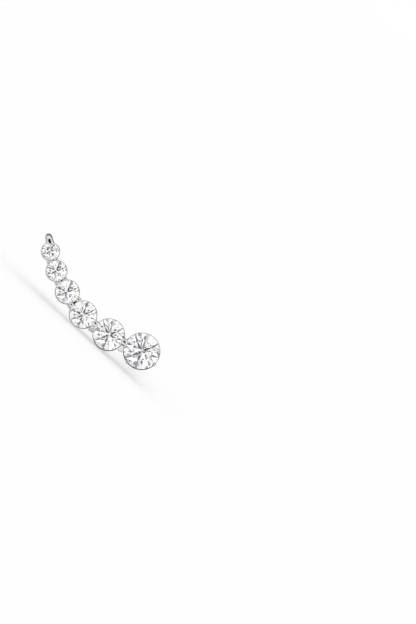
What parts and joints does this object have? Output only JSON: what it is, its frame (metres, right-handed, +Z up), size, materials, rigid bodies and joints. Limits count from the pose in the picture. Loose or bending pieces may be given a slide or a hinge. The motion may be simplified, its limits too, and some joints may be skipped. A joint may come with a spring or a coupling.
{
  "type": "ear climber",
  "caption": "Ear climber with graduated round brilliants in a curved row of low baskets, with a plain ear post and a support hook behind.",
  "frame": {"origin": "on the surface that it lies on, under the middle of its outline seen from above", "axes": "+X runs from the smallest stone's end to the largest's, the stones face -Y and a little up, +Z is up from the surface"},
  "size_m": [0.0162, 0.0126, 0.005],
  "materials": {
    "white_gold": "polished white gold",
    "diamond": "clear, cut and polished"
  },
  "bodies": {
    "root": {"setting": "white_gold", "stone_1": "diamond", "stone_2": "diamond", "stone_3": "diamond", "stone_4": "diamond", "stone_5": "diamond", "stone_6": "diamond"}
  },
  "joints": []
}
